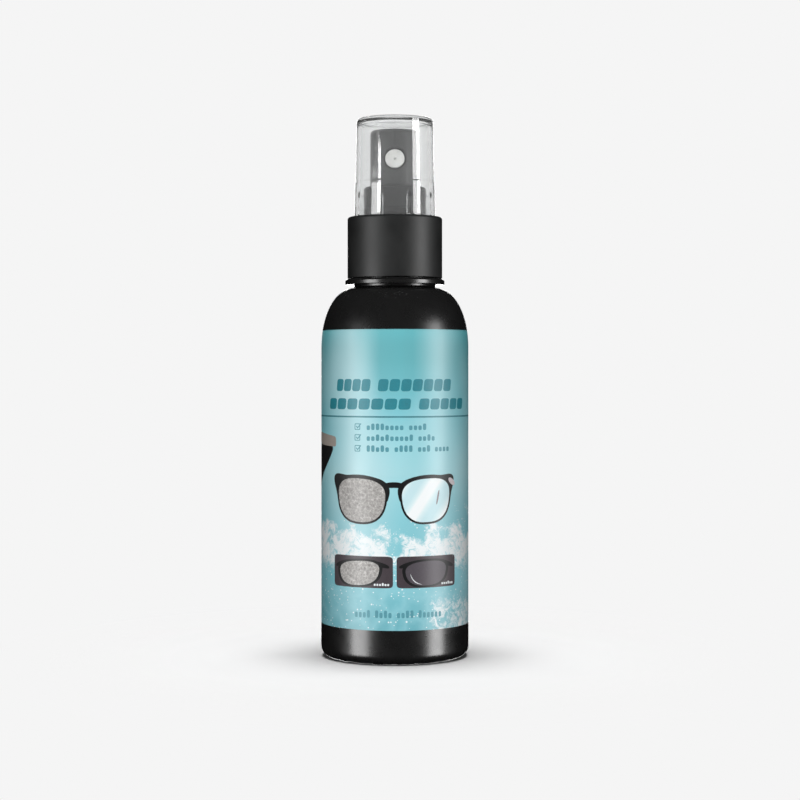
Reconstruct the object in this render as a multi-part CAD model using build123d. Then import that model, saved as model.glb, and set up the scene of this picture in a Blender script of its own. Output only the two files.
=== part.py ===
from build123d import *

import math
import os

# Lens cleaning spray: a 100 ml bottle with a screw-on fine mist pump and a clear overcap.
# Millimetres and degrees. +Z is up, the foot stands on z = 0 on the bottle's axis, and the spray leaves
# towards -Y.

# --- Driving dimensions -------------------------------------------------------------------------

# Clearances
running_fit = 0.03          # radial, between parts that slide or turn on each other
seat_gap = 0.05             # axial, between faces of moving parts that stop on each other
deck_gap = 0.1              # axial, above and below the closure's deck, so that it turns freely
snap_clearance = 0.05       # all round the housing's snap bead in the turret's groove
post_clearance = 0.02       # radial, between the insert's cup and the corners of the button's post

# Edges and cutters
light_edge = 0.2            # rounding on moulded corners
lead_in = 0.3               # chamfer that guides one part into another
overshoot = 1.0             # how far a cutter runs past the face that it opens

# Bottle body
body_radius = 20.0
body_height = 83.5          # foot to the start of the shoulder
base_corner = 2.8
foot_inner_radius = 15.0
push_up = 1.8
bottle_wall = 1.0
bottle_floor = 1.3
shoulder_height = 16.0

# Bottle neck, a 24 mm finish
neck_bore_wall = 1.45
thread_root_radius = 10.75
thread_depth = 1.15
thread_pitch = 3.175
neck_thread_turns = 1.5
neck_thread_root_width = 2.0
neck_thread_crest_width = 0.9
neck_thread_below_rim = 2.2
thread_sunk = 0.3           # the ridge's foot inside its wall
neck_step = 0.28            # the plain neck under the ring is this much larger than the thread's root
neck_fillet = 0.52
neck_gap = 0.9              # plain neck between shoulder and ring
ring_overhang = 0.625       # the support ring stands out from the closure
ring_thickness = 1.6
ring_edge = 0.25
ring_top_edge = 0.3
ring_chamfer = 0.6
ring_chamfer_height = 0.45
finish_height = 13.6        # ring to rim
rim_chamfer = 0.5

# Label sleeve
label_thickness = 0.15
label_base_margin = 9.2
label_over_shoulder = 4.6

# Closure
closure_wall = 0.75
closure_thread_clearance = 0.2
closure_thread_depth = 1.05
closure_thread_turns = 1.1
closure_thread_root_width = 1.5
closure_thread_crest_width = 0.7
closure_deck = 1.2
closure_edge = 0.7
closure_skirt_gap = 0.2     # skirt to support ring

# Pump housing
gasket_thickness = 0.9
flange_thickness = 1.0
flange_margin = 0.15        # the flange stands out from the thread's root
upstand_margin = 2.9        # the upstand stands out from the barrel's bore
upstand_wall = 0.75
upstand_above_deck = 0.8
barrel_bore = 3.5
barrel_wall = 1.1
gasket_to_barrel = 0.3
ball_bore_clearance = 0.35
inlet_radius = 0.9
inlet_length = 1.0
socket_length = 7.8
socket_edge = 0.4
socket_lead_height = 0.6
nipple_wall = 1.45
vent_radius = 0.4
vent_below_rim = 0.6
snap_height = 0.5
snap_depth = 0.2
snap_slope = 0.15           # height of the groove's and bead's sloped sides

# Turret
turret_wall = 1.5
turret_bead = 0.3
turret_bead_height = 2.1
turret_web = 1.0
turret_edge = 0.7
sleeve_wall = 1.0
sleeve_to_deck_hole = 0.2
floor_clearance = 0.4

# Stem, valve pin and piston
stroke = 4.5
stem_radius = 2.0
stem_wall = 1.0
stem_socket_depth = 7.0
stem_shoulder_clearance = 0.6    # shoulder to barrel
stem_shoulder_thickness = 1.2
seal_thickness = 1.1
seal_clearance = 0.05
piston_length = 5.0
piston_slip = 0.6
piston_lip_depth = 0.47
piston_lip = 0.95
piston_hollow = 0.5         # depth of the hollow behind the upper lip
slot_width = 0.8
plug_length = 3.75
plug_flat_depth = 0.35
valve_flange_clearance = 0.7     # flange to barrel
valve_flange_thickness = 1.25
pin_clearance = 0.55        # pin to the spring around it
pin_end_gap = 1.3           # pin to cage at full stroke
pin_tip = 0.8               # rounding of the pin's tip, as a share of its radius

# Return spring, ball cage, ball and dip tube
spring_length = 14.2
spring_wire = 0.6
spring_to_barrel = 1.05
spring_turns = 10
cage_thickness = 1.2
cage_boss_height = 1.4
cage_boss_clearance = 0.25  # boss to the spring around it
cage_boss_wall = 0.8
cage_slot_margin = 0.9      # slot's end to barrel
cage_slot_width = 0.8
cage_slots = 3
ball_radius = 1.5
ball_lift = 1.0
tube_radius = 1.5
tube_wall = 0.6
tube_floor_gap = 4.0
tube_bend_radius = 200.0
tube_straight = 0.35        # share of the drop before the bend
tube_lean = 0.37            # share of the reach to the side at the lower bend
tube_lower_bend = 0.3       # height of the lower bend, as a share of the drop
tube_tip_cut = 45.0

# Spray button and nozzle insert
actuator_radius = 6.7
actuator_height = 16.7
actuator_clearance = 0.3
actuator_overlap = 1.4      # how far it stands in the turret at rest
actuator_edge = 1.0
actuator_wall = 1.2
actuator_hub_wall = 1.4
actuator_roof = 1.5
hub_lead = 0.4
dish_radius = 20.0
dish_depth = 0.5
duct_radius = 0.9
feed_radius = 0.4
feed_offset = 1.6
nozzle_height = 8.6         # button's lower edge to the nozzle's axis
nozzle_boss_wall = 0.85
recess_margin = 0.515       # the recess is this much larger than the insert
recess_depth = 1.1
insert_radius = 2.535
insert_proud = 0.55
insert_length = 2.6
insert_chamber = 0.5
insert_face = 0.8
insert_edge = 0.25
post_radius = 1.2
orifice_radius = 0.15
dimple_radius = 0.45
dimple_depth = 0.3

# Overcap
overcap_wall = 1.1
overcap_roof = 1.2
overcap_headroom = 2.1
overcap_gap = 1.05          # turret's bead to the wall inside
overcap_draft = 0.475       # the taper from mouth to top, without the step
overcap_step = 0.15
overcap_band_height = 9.2
overcap_step_height = 0.4
overcap_edge = 0.8
overcap_inner_edge = 1.2
overcap_ribs = 8
overcap_rib_width = 0.8
overcap_rib_height = 5.0
overcap_rib_lead = 0.6

# --- Worked out from them -----------------------------------------------------------------------

panel_radius = body_radius - label_thickness
cavity_radius = body_radius - bottle_wall
neck_radius = thread_root_radius + neck_step
neck_foot_radius = neck_radius + neck_fillet
neck_bore = thread_root_radius - neck_bore_wall
shoulder_top = body_height + shoulder_height
ring_low = shoulder_top + neck_gap
ring_high = ring_low + ring_thickness
rim = ring_high + finish_height
label_low = label_base_margin
label_high = body_height + label_over_shoulder

closure_bore = thread_root_radius + thread_depth + closure_thread_clearance
closure_radius = closure_bore + closure_wall
ring_radius = closure_radius + ring_overhang
closure_low = ring_high + closure_skirt_gap
neck_thread_low = rim - neck_thread_below_rim - neck_thread_turns * thread_pitch
closure_thread_low = neck_thread_low - thread_pitch / 2

flange_radius = thread_root_radius + flange_margin
flange_low = rim + gasket_thickness
flange_high = flange_low + flange_thickness
deck_low = flange_high + deck_gap
deck_high = deck_low + closure_deck
upstand_top = deck_high + upstand_above_deck
web_high = upstand_top + turret_web
turret_low = deck_high + deck_gap
snap_low = turret_low - snap_height
turret_top = web_high + floor_clearance + stroke + actuator_overlap
upstand_radius = barrel_bore + upstand_margin
sleeve_radius = upstand_radius + sleeve_wall
deck_hole = sleeve_radius + sleeve_to_deck_hole
turret_bore = actuator_radius + actuator_clearance
turret_radius = turret_bore + turret_wall
bead_radius = turret_radius + turret_bead

barrel_radius = barrel_bore + barrel_wall
seal_pocket = upstand_radius - upstand_wall
stem_bore = stem_radius - stem_wall
stem_shoulder_radius = barrel_bore - stem_shoulder_clearance
valve_flange_radius = barrel_bore - valve_flange_clearance
piston_lip_radius = barrel_bore - running_fit
spring_mean_radius = barrel_bore - spring_to_barrel - spring_wire / 2
spring_inner = spring_mean_radius - spring_wire / 2
pin_radius = spring_inner - pin_clearance
pin_length = spring_length - stroke - cage_boss_height - pin_end_gap
cage_boss_radius = spring_inner - cage_boss_clearance
cage_hole = cage_boss_radius - cage_boss_wall
seal_low = upstand_top - seal_thickness
shoulder_high = seal_low - deck_gap
shoulder_low = shoulder_high - stem_shoulder_thickness
piston_high = shoulder_low - seat_gap - piston_slip
piston_low = piston_high - piston_length
valve_high = piston_low - seat_gap
valve_low = valve_high - valve_flange_thickness
cage_high = valve_low - spring_length
cage_low = cage_high - cage_thickness
ball_chamber = ball_radius + ball_bore_clearance
ball_apex_gap = (ball_radius + running_fit) * math.sqrt(2)
ball_height = cage_low - running_fit - ball_lift - ball_radius
seat_apex = ball_height - ball_apex_gap
seat_high = seat_apex + ball_chamber
seat_low = seat_apex + inlet_radius
socket_top = seat_low - inlet_length
socket_low = socket_top - socket_length
nipple_radius = max(tube_radius, ball_chamber) + nipple_wall

actuator_low = turret_top - actuator_overlap
actuator_top = actuator_low + actuator_height
stem_top = actuator_low + stem_socket_depth
nozzle_z = actuator_low + nozzle_height
actuator_hub = stem_radius + actuator_hub_wall
recess_radius = insert_radius + recess_margin
recess_floor = actuator_radius - recess_depth
nozzle_boss_radius = recess_radius + nozzle_boss_wall
overcap_mouth = bead_radius + overcap_gap + overcap_wall
overcap_inner_top = actuator_top + overcap_headroom
overcap_top = overcap_inner_top + overcap_roof


# --- Shape helpers ------------------------------------------------------------------------------

def turned(*corners):
    """A solid of revolution about Z. Each corner is (radius, z) or (radius, z, rounding)."""
    points = [corner[:2] for corner in corners]
    roundings = [corner[2] if len(corner) > 2 else 0 for corner in corners]
    outline = FilletPolyline(*points, radius=roundings, close=True)
    return revolve(Plane.XZ * make_face(outline), axis=Axis.Z)


def ring(outer, inner, low, high):
    """A plain tube about Z."""
    return turned((inner, low), (outer, low), (outer, high), (inner, high))


def rod(radius, low, high):
    """A plain cylinder about Z."""
    return turned((0, low), (radius, low), (radius, high), (0, high))


def thread_ridge(root, crest, root_width, crest_width, low, turns):
    """A trapezium carried up a right-hand helix, with its foot sunk into the wall that it stands on."""
    depth = crest - root
    foot_width = root_width + (root_width - crest_width) * thread_sunk / abs(depth)
    foot = -math.copysign(thread_sunk, depth)
    helix = Helix(thread_pitch, thread_pitch * turns, root, center=(0, 0, low))
    section = Polyline(
        (foot, -foot_width / 2),
        (depth, -crest_width / 2),
        (depth, crest_width / 2),
        (foot, foot_width / 2),
        close=True,
    )
    start = Plane(origin=helix @ 0, x_dir=(1, 0, 0), z_dir=helix % 0)
    return sweep(start * make_face(section), path=helix, is_frenet=True)


def facing_front(shape, height):
    """Turns a shape built along +Z so that it faces -Y, on an axis at this height."""
    return Pos(0, 0, height) * Rot(90, 0, 0) * shape


# --- Bottle and label ---------------------------------------------------------------------------

def shoulder_face(foot_radius, reach, rise, low):
    """The half section from the axis out and from low up, closed by an elliptical shoulder."""
    top = body_height + rise
    side = foot_radius + reach
    wall = Polyline((foot_radius, top), (0, top), (0, low), (side, low), (side, body_height))
    curve = EllipticalCenterArc((foot_radius, body_height), reach, rise, 0, arc_size=90)
    return make_face(wall + curve)


def bottle_envelope():
    """The bottle's outer shape, without thread or cavity."""
    reach = body_radius - neck_foot_radius
    body = revolve(Plane.XZ * shoulder_face(neck_foot_radius, reach, shoulder_height, 0), axis=Axis.Z)
    body = fillet(body.edges().filter_by(GeomType.CIRCLE).sort_by(Axis.Z)[0], base_corner)
    flare = turned(
        (0, shoulder_top),
        (neck_foot_radius, shoulder_top),
        (neck_radius, shoulder_top, neck_fillet * 0.99),
        (neck_radius, ring_low),
        (0, ring_low),
    )
    support = turned(
        (0, ring_low),
        (ring_radius, ring_low, ring_edge),
        (ring_radius, ring_high - ring_chamfer_height, ring_top_edge),
        (ring_radius - ring_chamfer, ring_high),
        (0, ring_high),
    )
    finish = turned(
        (0, ring_high),
        (thread_root_radius, ring_high),
        (thread_root_radius, rim - rim_chamfer),
        (thread_root_radius - rim_chamfer, rim),
        (0, rim),
    )
    return body + flare + support + finish


def bottle_cavity():
    """The space inside, from a domed floor to the open mouth."""
    reach = cavity_radius - neck_bore
    rise = shoulder_height - bottle_wall
    chamber = revolve(Plane.XZ * shoulder_face(neck_bore, reach, rise, bottle_floor), axis=Axis.Z)
    corner = max(base_corner - bottle_wall, bottle_wall / 2)
    chamber = fillet(chamber.edges().filter_by(GeomType.CIRCLE).sort_by(Axis.Z)[0], corner)
    mouth = rod(neck_bore, body_height + rise - overshoot, rim + overshoot)
    return chamber + mouth - push_up_dome(bottle_floor)


def push_up_dome(height):
    """The cap of a sphere over the foot's inner circle, standing on this height."""
    dome_radius = (foot_inner_radius ** 2 + push_up ** 2) / (2 * push_up)
    ball = Pos(0, 0, height + push_up - dome_radius) * Sphere(dome_radius)
    return ball & rod(foot_inner_radius, height, height + push_up + overshoot)


def label_core():
    """The bottle's outer shape under the label, one label thickness in."""
    reach = panel_radius - neck_foot_radius
    rise = shoulder_height - label_thickness
    core = shoulder_face(neck_foot_radius, reach, rise, label_low - overshoot)
    return revolve(Plane.XZ * core, axis=Axis.Z)


def label_sleeve():
    """The printed sleeve, flush in a panel that is sunk by its own thickness."""
    return (bottle_envelope() & rod(body_radius + overshoot, label_low, label_high)) - label_core()


def bottle():
    """The blow moulded bottle with its neck finish, thread, support ring and push-up foot."""
    thread = thread_ridge(
        thread_root_radius,
        thread_root_radius + thread_depth,
        neck_thread_root_width,
        neck_thread_crest_width,
        neck_thread_low,
        neck_thread_turns,
    )
    return bottle_envelope() + thread - label_sleeve() - bottle_cavity() - push_up_dome(0)


# --- Closure, turret and overcap ----------------------------------------------------------------

def closure():
    """The screw closure: a plain skirt and a deck with a hole that the turret's sleeve passes through."""
    shell = turned(
        (closure_bore, closure_low + lead_in),
        (closure_bore + lead_in, closure_low),
        (closure_radius, closure_low, light_edge),
        (closure_radius, deck_high, min(closure_edge, closure_deck * 0.9)),
        (deck_hole, deck_high),
        (deck_hole, deck_low),
        (closure_bore, deck_low),
    )
    thread = thread_ridge(
        closure_bore,
        closure_bore - closure_thread_depth,
        closure_thread_root_width,
        closure_thread_crest_width,
        closure_thread_low,
        closure_thread_turns,
    )
    return shell + thread


def turret():
    """The collar above the deck: it snaps on the housing, traps the closure and guides stem and button."""
    return turned(
        (stem_radius + seal_clearance, upstand_top),
        (upstand_radius, upstand_top),
        (upstand_radius, turret_low),
        (upstand_radius + snap_depth, turret_low - snap_slope),
        (upstand_radius + snap_depth, snap_low + snap_slope),
        (upstand_radius, snap_low),
        (upstand_radius, flange_high),
        (sleeve_radius, flange_high),
        (sleeve_radius, turret_low),
        (bead_radius, turret_low, light_edge),
        (bead_radius, turret_low + turret_bead_height, light_edge),
        (turret_radius, turret_low + turret_bead_height),
        (turret_radius, turret_top, turret_edge),
        (turret_bore, turret_top, light_edge),
        (turret_bore, web_high),
        (stem_radius + seal_clearance, web_high),
    )


def overcap():
    """The clear cap over the button, with grip ribs inside its mouth."""
    band_top = deck_high + overcap_band_height
    share = overcap_band_height / (overcap_top - deck_high)
    band_radius = overcap_mouth - overcap_draft * share
    above_band = band_radius - overcap_step
    top_radius = overcap_mouth - overcap_draft - overcap_step
    shell = turned(
        (overcap_mouth - overcap_wall, deck_high),
        (overcap_mouth, deck_high, light_edge),
        (band_radius, band_top),
        (above_band, band_top + overcap_step_height),
        (top_radius, overcap_top, overcap_edge),
        (0, overcap_top),
        (0, overcap_inner_top),
        (top_radius - overcap_wall, overcap_inner_top, overcap_inner_edge),
        (above_band - overcap_wall, band_top + overcap_step_height),
    )
    rib_top = deck_high + overcap_rib_height
    rib_reach = bead_radius + running_fit
    ring_of_ribs = turned(
        (rib_reach + overcap_rib_lead, deck_high),
        (overcap_mouth - overcap_wall / 2, deck_high),
        (overcap_mouth - overcap_wall / 2, rib_top + overcap_rib_lead),
        (rib_reach + overcap_rib_lead, rib_top + overcap_rib_lead),
        (rib_reach, rib_top),
        (rib_reach, deck_high + overcap_rib_lead),
    )
    for count in range(overcap_ribs):
        blade = Pos(overcap_mouth / 2, 0, deck_high + overcap_rib_height / 2)
        blade = blade * Box(overcap_mouth, overcap_rib_width, overcap_rib_height * 2)
        shell += ring_of_ribs & (Rot(0, 0, 360 * (count + 0.5) / overcap_ribs) * blade)
    return shell


# --- Pump ---------------------------------------------------------------------------------------

def neck_gasket():
    """The flat sealing washer between the bottle's rim and the housing's flange."""
    return ring(flange_radius, barrel_radius + gasket_to_barrel, rim, flange_low)


def pump_housing():
    """The pump's body: upstand, flange, barrel, ball chamber with its cone seat, and dip tube socket."""
    bead_out = snap_depth - snap_clearance
    bead_low = snap_low + snap_clearance
    bead_high = turret_low - snap_clearance
    body = turned(
        (barrel_bore, seal_low),
        (seal_pocket, seal_low),
        (seal_pocket, upstand_top),
        (upstand_radius, upstand_top),
        (upstand_radius, bead_high),
        (upstand_radius + bead_out, bead_high - snap_slope),
        (upstand_radius + bead_out, bead_low + snap_slope),
        (upstand_radius, bead_low),
        (upstand_radius, flange_high),
        (flange_radius, flange_high),
        (flange_radius, flange_low),
        (barrel_radius, flange_low),
        (barrel_radius, cage_low),
        (nipple_radius, cage_low - barrel_radius + nipple_radius),
        (nipple_radius, socket_low, socket_edge),
        (tube_radius + lead_in, socket_low),
        (tube_radius, socket_low + socket_lead_height),
        (tube_radius, socket_top),
        (inlet_radius, socket_top),
        (inlet_radius, seat_low),
        (ball_chamber, seat_high),
        (ball_chamber, cage_low),
        (barrel_bore, cage_low),
    )
    drill = Rot(0, 90, 0) * Cylinder(vent_radius, barrel_wall * 4)
    vent = Pos(barrel_radius, 0, rim - vent_below_rim) * drill
    return body - vent


def stem_seal():
    """The soft ring under the turret's web that wipes the stem."""
    return ring(seal_pocket - seal_clearance, stem_radius + seal_clearance, seal_low, upstand_top)


def stem():
    """The hollow stem, with the shoulder that stops it under the seal and two inlet slots at its foot."""
    tube = turned(
        (stem_bore, valve_high),
        (stem_radius, valve_high),
        (stem_radius, shoulder_low),
        (stem_shoulder_radius, shoulder_low, light_edge),
        (stem_shoulder_radius, shoulder_high, light_edge),
        (stem_radius, shoulder_high),
        (stem_radius, stem_top, lead_in),
        (stem_bore, stem_top),
    )
    slot = Pos(0, 0, valve_high + piston_slip / 2) * Box(slot_width, stem_radius * 4, piston_slip)
    return tube - slot


def valve_pin():
    """The lower stem: a plug with two flats, the flange under the piston, and the spring's guide."""
    body = turned(
        (0, valve_low - pin_length),
        (pin_radius, valve_low - pin_length, pin_radius * pin_tip),
        (pin_radius, valve_low),
        (valve_flange_radius, valve_low, light_edge),
        (valve_flange_radius, valve_high, light_edge),
        (stem_bore, valve_high),
        (stem_bore, valve_high + plug_length, light_edge),
        (0, valve_high + plug_length),
    )
    for side in (-1, 1):
        middle = side * (stem_bore - plug_flat_depth + stem_bore)
        flat = Pos(0, middle, valve_high + plug_length) * Box(stem_bore * 3, stem_bore * 2, plug_length * 2)
        body -= flat
    return body


def piston():
    """The sliding seal, with a lip at each end."""
    inner = stem_radius + running_fit
    waist = piston_lip_radius - piston_lip_depth
    return turned(
        (inner, piston_low),
        (piston_lip_radius - light_edge, piston_low),
        (piston_lip_radius, piston_low + light_edge),
        (piston_lip_radius, piston_low + piston_lip),
        (waist, piston_low + piston_lip + lead_in),
        (waist, piston_high - piston_lip - lead_in),
        (piston_lip_radius, piston_high - piston_lip),
        (piston_lip_radius, piston_high),
        (waist, piston_high),
        (inner + lead_in, piston_high - piston_hollow),
        (inner, piston_high - piston_hollow),
    )


def return_spring():
    """A steel compression spring between the ball cage and the valve pin's flange."""
    rise = spring_length - spring_wire
    low = cage_high + spring_wire / 2
    helix = Helix(rise / spring_turns, rise, spring_mean_radius, center=(0, 0, low))
    start = Plane(origin=helix @ 0, z_dir=helix % 0)
    return sweep(start * Circle(spring_wire / 2), path=helix, is_frenet=True)


def ball_cage():
    """The spring's seat, which also keeps the ball in its chamber and lets liquid past it."""
    cage = turned(
        (cage_hole, cage_low),
        (barrel_bore, cage_low),
        (barrel_bore, cage_high),
        (cage_boss_radius, cage_high),
        (cage_boss_radius, cage_high + cage_boss_height, light_edge),
        (cage_hole, cage_high + cage_boss_height),
    )
    reach = barrel_bore - cage_slot_margin
    for count in range(cage_slots):
        slot = Pos(reach / 2, 0, cage_low) * Box(reach, cage_slot_width, cage_thickness)
        cage -= Rot(0, 0, 360 * count / cage_slots) * slot
    return cage


def inlet_ball():
    """The check ball over the inlet."""
    return Pos(0, 0, ball_height) * Sphere(ball_radius)


def dip_tube():
    """The supply tube, set with a slight bend so that its cut tip reaches the edge of the floor."""
    drop = socket_top - tube_floor_gap
    tip = Vector(neck_bore, 0, tube_floor_gap)
    route = FilletPolyline(
        (0, 0, socket_top),
        (0, 0, socket_top - drop * tube_straight),
        (tip.X * tube_lean, 0, tube_floor_gap + drop * tube_lower_bend),
        tip,
        radius=tube_bend_radius,
    )
    start = Plane(origin=route @ 0, z_dir=route % 0)
    outer = sweep(start * Circle(tube_radius), path=route)
    inner = sweep(start * Circle(tube_radius - tube_wall), path=route)
    side = tube_radius * 8
    cut = Pos(tip.X, 0, tip.Z) * Rot(0, tube_tip_cut, 0) * Pos(0, 0, -side / 2) * Box(side, side, side)
    return outer - inner - cut


def actuator():
    """The spray button: a hollow shell with a hub for the stem and a boss that holds the nozzle insert."""
    body = turned(
        (0, actuator_low),
        (actuator_radius, actuator_low, light_edge),
        (actuator_radius, actuator_top, actuator_edge),
        (0, actuator_top),
    )
    inside = actuator_radius - actuator_wall
    hollow = ring(inside, actuator_hub, actuator_low - overshoot, actuator_top - actuator_roof)
    hollow -= facing_front(rod(nozzle_boss_radius, 0, actuator_radius), nozzle_z)
    dish = Pos(0, 0, actuator_top - dish_depth + dish_radius) * Sphere(dish_radius)
    hole = stem_radius + running_fit
    duct_top = nozzle_z + feed_offset + feed_radius
    stem_hole = turned(
        (0, actuator_low - overshoot),
        (hole + hub_lead, actuator_low - overshoot),
        (hole + hub_lead, actuator_low),
        (hole, actuator_low + hub_lead),
        (hole, stem_top + seat_gap),
        (duct_radius, stem_top + seat_gap),
        (duct_radius, duct_top),
        (0, duct_top),
    )
    insert_floor = recess_floor - insert_length - insert_chamber + insert_proud
    feed = facing_front(rod(feed_radius, 0, insert_floor + overshoot), nozzle_z + feed_offset)
    recess = facing_front(rod(recess_radius, recess_floor, actuator_radius + overshoot), nozzle_z)
    pocket = facing_front(rod(insert_radius, insert_floor, recess_floor + overshoot), nozzle_z)
    post = extrude(RegularPolygon(post_radius, 6), insert_length + insert_chamber - insert_face)
    post = facing_front(Pos(0, 0, insert_floor) * post, nozzle_z)
    return body - hollow - dish - stem_hole - feed - recess - pocket + post


def nozzle_insert():
    """The white orifice cup pressed over the button's post."""
    face = recess_floor + insert_proud
    back = face - insert_length
    cup = turned(
        (post_radius + post_clearance, back),
        (insert_radius, back),
        (insert_radius, face, insert_edge),
        (dimple_radius, face),
        (orifice_radius, face - dimple_depth),
        (orifice_radius, face - insert_face),
        (post_radius + post_clearance, face - insert_face),
    )
    return facing_front(cup, nozzle_z)


# --- Export -------------------------------------------------------------------------------------

NODES = (
    bottle,
    label_sleeve,
    closure,
    turret,
    overcap,
    neck_gasket,
    pump_housing,
    stem_seal,
    stem,
    valve_pin,
    piston,
    return_spring,
    ball_cage,
    inlet_ball,
    dip_tube,
    actuator,
    nozzle_insert,
)

os.makedirs("parts", exist_ok=True)
for make in NODES:
    shape = make()
    shape.label = make.__name__
    export_step(shape, f"parts/{make.__name__}.step")
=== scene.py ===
import math

import bpy
import numpy as np
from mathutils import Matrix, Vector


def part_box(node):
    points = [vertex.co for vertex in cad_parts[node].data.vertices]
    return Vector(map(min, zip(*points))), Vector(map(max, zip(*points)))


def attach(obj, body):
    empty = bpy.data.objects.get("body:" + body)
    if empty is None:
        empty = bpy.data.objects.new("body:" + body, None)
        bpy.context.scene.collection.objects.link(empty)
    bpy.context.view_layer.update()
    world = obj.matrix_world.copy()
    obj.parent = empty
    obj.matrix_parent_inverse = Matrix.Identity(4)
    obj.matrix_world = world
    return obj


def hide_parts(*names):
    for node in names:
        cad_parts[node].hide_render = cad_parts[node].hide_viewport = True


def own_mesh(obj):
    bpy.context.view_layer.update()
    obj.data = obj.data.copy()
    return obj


# Lens cleaning spray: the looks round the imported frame. Shapes are in millimetres until skin() makes
# them metres. +Z is up, the nozzle faces -Y, and +X is at the right of someone who faces the nozzle.

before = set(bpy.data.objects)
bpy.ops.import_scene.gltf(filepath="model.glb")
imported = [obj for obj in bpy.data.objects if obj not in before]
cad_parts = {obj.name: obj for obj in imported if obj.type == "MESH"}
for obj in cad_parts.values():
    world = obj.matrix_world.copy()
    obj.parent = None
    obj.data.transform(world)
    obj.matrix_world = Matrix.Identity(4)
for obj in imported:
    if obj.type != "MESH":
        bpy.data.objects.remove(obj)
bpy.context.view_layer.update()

MM = 0.001


def corners(node):
    """A CAD node's lowest and highest corner at rest, in millimetres."""
    low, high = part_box(node)
    return np.array(low) / MM, np.array(high) / MM


# --- Sizes taken from the frame --------------------------------------------------------------------

BODY_RADIUS = corners("bottle")[1][0]
(_, _, LABEL_FOOT), (_, _, LABEL_TOP) = corners("label_sleeve")
(_, _, CAP_FOOT), (_, _, CAP_TOP) = corners("overcap")
(_, _, SPRING_FOOT), (_, _, SPRING_TOP) = corners("return_spring")

# --- Sizes of the new pieces -----------------------------------------------------------------------

SHOULDER_START = 83.5           # where the body's straight wall ends
SHOULDER_NECK = 11.55           # radius where the shoulder's ellipse ends
SHOULDER_RISE = 16.0

INK_ROOM = 0.05                 # the film's face lies this far inside the wall, so that the ink is flush
INK_LAYER = 0.008               # height of one printed layer over the one below
INK_THICKNESS = 0.02
INK_POINTS = 0.4                # at most this far apart along a printed outline
INK_RINGS = 0.9                 # at most this far apart across a printed area
LABEL_RADIUS = BODY_RADIUS - INK_ROOM
FILM_THICKNESS = 0.09
FILM_OVERLAP = 4.0              # degrees by which the sleeve's glued edge laps over its other edge
FILM_LAP = 0.02

CAP_MOUTH = 10.95
CAP_DRAFT = 0.475
CAP_STEP = 0.15                 # the band round the cap's mouth stands out by this
CAP_STEP_HEIGHT = 0.4
CAP_STEP_EDGE = 0.3
CAP_BAND = 9.2
CAP_WALL = 1.1
CAP_ROOF = 1.2
CAP_EDGE = 0.8
CAP_INNER_EDGE = 1.2
CAP_LIP_EDGE = 0.2
RIB_COUNT = 8
RIB_WIDTH = 0.8
RIB_REACH = 8.83                # radius of the ribs' faces
RIB_HEIGHT = 5.0
RIB_LEAD = 0.6                  # the ribs' ends slope over this height
RIB_FLANK = 0.02                # degrees that a rib's flank takes
WALL_START = 1.2                # degrees from a rib's flank to the next column of the plain wall
WALL_COLUMNS = 21               # columns of plain wall between two ribs

WIRE_RADIUS = 0.3
COIL_RADIUS = 2.15
COILS = 10
CLOSED_COILS = 1.0              # dead coils at each end, wire on wire
DEAD_PITCH = 1.02               # a dead coil's pitch, in wire diameters
COIL_STEPS = 40
WIRE_SIDES = 14

CREASE = 35                     # degrees between two faces past which their edge is sharp
OUTLINE_STEP = 1.2              # a turned outline has a row about this often
ARC_POINTS = 9                  # on each of its roundings

# --- Node and mesh helpers -------------------------------------------------------------------------


SMOOTH = {"interpolation_type": "SMOOTHSTEP"}
COLOURS = {"data_type": "RGBA"}
MOST_NOISE = {"From Min": 0.3, "From Max": 0.7}         # nearly all of a noise texture's values


def per_metre(size):
    """A pattern's scale on Object coordinates, which are metres, for features that are size mm wide."""
    return 1000.0 / size


def linear(hex_colour):
    """An sRGB hex colour as linear RGBA: each channel c is c/12.92 up to 0.04045 and else
    ((c + 0.055)/1.055) to the power 2.4."""
    channels = [int(hex_colour[i : i + 2], 16) / 255 for i in (1, 3, 5)]
    return [c / 12.92 if c <= 0.04045 else ((c + 0.055) / 1.055) ** 2.4 for c in channels] + [1.0]


def node(tree, kind, settings=None, links=None, stops=None):
    """Adds a node. Settings are its own properties, links its inputs by name or number, each a value,
    a node (its first output in use) or a socket, and stops a ramp's (position, hex colour) pairs."""
    made = tree.nodes.new("ShaderNode" + kind)
    for key, value in (settings or {}).items():
        setattr(made, key, value)
    for key, value in (links or {}).items():
        if isinstance(key, int):
            socket = made.inputs[key]
        else:
            socket = next(s for s in made.inputs if s.name == key and s.enabled)
        if isinstance(value, bpy.types.Node):
            value = next(s for s in value.outputs if s.enabled)
        if isinstance(value, bpy.types.NodeSocket):
            tree.links.new(value, socket)
        else:
            socket.default_value = value
    if stops:
        elements = made.color_ramp.elements
        while len(elements) < len(stops):
            elements.new(1.0)
        for element, (position, colour) in zip(elements, stops):
            element.position = position
            element.color = linear(colour)
    return made


def finish(name, **constants):
    """A material with one Principled shader. Constants are its own sockets' values, their names in
    lower case with _ for a space. Returns the material, its node tree and the shader."""
    material = bpy.data.materials.new(name)
    material.use_nodes = True
    tree = material.node_tree
    shader = tree.nodes["Principled BSDF"]
    named = {s.name.lower().replace(" ", "_"): s for s in shader.inputs}
    for key, value in constants.items():
        named[key].default_value = value
    return material, tree, shader


def feed(shader, **nodes):
    named = {s.name.lower().replace(" ", "_"): s for s in shader.inputs}
    for key, made in nodes.items():
        shader.id_data.links.new(next(s for s in made.outputs if s.enabled), named[key])


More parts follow.
